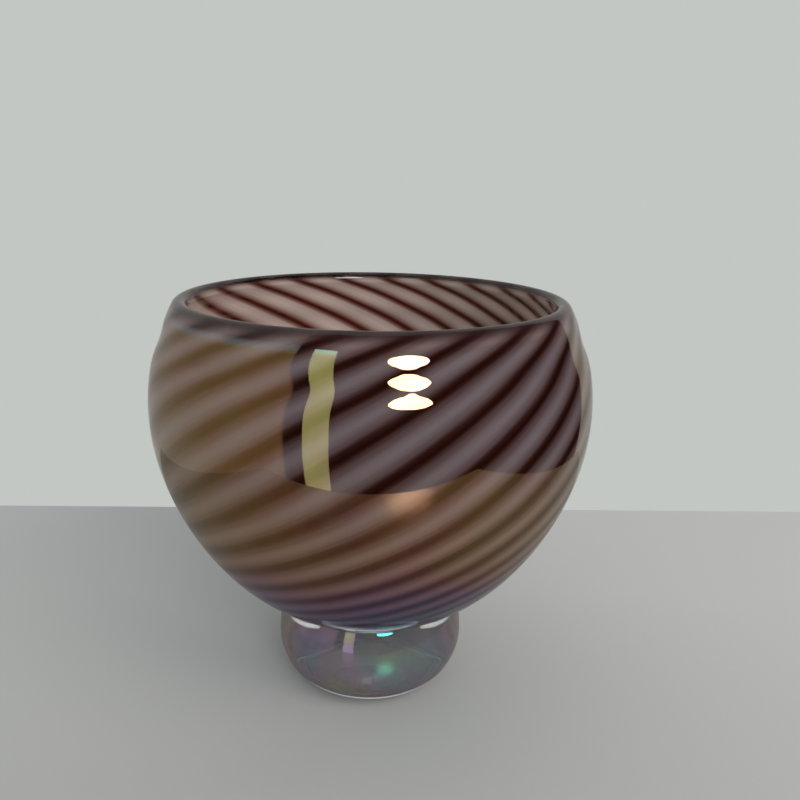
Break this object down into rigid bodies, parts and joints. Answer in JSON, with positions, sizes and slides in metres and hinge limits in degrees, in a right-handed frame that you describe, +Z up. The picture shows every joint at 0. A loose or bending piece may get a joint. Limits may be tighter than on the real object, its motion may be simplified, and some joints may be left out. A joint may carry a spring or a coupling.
{
  "type": "footed glass bowl",
  "caption": "Round blown glass bowl with a wide open rim, a swirl of dark and pale bands fused in its wall, and a solid clear bun foot.",
  "frame": {"origin": "middle of the flat ring that the foot stands on, at table level", "axes": "+Z up along the bowl's axis of turning, through the open rim; -Y is the front"},
  "size_m": [0.2, 0.2, 0.1889],
  "materials": {
    "iridised_clear": "fire polished, with a thin metallic iridescent skin",
    "opal": "fire polished pale opal glass",
    "foot_clear": "fire polished clear glass with a faint iridescent skin, ground below",
    "amethyst": "deep red amethyst glass, fused in",
    "mauve": "pale mauve translucent glass, fused in"
  },
  "bodies": {
    "root": {"casing": "iridised_clear", "lining": "opal", "foot": "foot_clear", "dark_cane_01": "amethyst", "dark_cane_02": "amethyst", "dark_cane_03": "amethyst", "dark_cane_04": "amethyst", "dark_cane_05": "amethyst", "dark_cane_06": "amethyst", "dark_cane_07": "amethyst", "dark_cane_08": "amethyst", "dark_cane_09": "amethyst", "dark_cane_10": "amethyst", "dark_cane_11": "amethyst", "dark_cane_12": "amethyst", "dark_cane_13": "amethyst", "dark_cane_14": "amethyst", "dark_cane_15": "amethyst", "dark_cane_16": "amethyst", "dark_cane_17": "amethyst", "dark_cane_18": "amethyst", "dark_cane_19": "amethyst", "dark_cane_20": "amethyst", "dark_cane_21": "amethyst", "pale_cane_01": "mauve", "pale_cane_02": "mauve", "pale_cane_03": "mauve", "pale_cane_04": "mauve", "pale_cane_05": "mauve", "pale_cane_06": "mauve", "pale_cane_07": "mauve", "pale_cane_08": "mauve", "pale_cane_09": "mauve", "pale_cane_10": "mauve", "pale_cane_11": "mauve", "pale_cane_12": "mauve", "pale_cane_13": "mauve", "pale_cane_14": "mauve", "pale_cane_15": "mauve", "pale_cane_16": "mauve", "pale_cane_17": "mauve", "pale_cane_18": "mauve", "pale_cane_19": "mauve", "pale_cane_20": "mauve", "pale_cane_21": "mauve"}
  },
  "joints": []
}
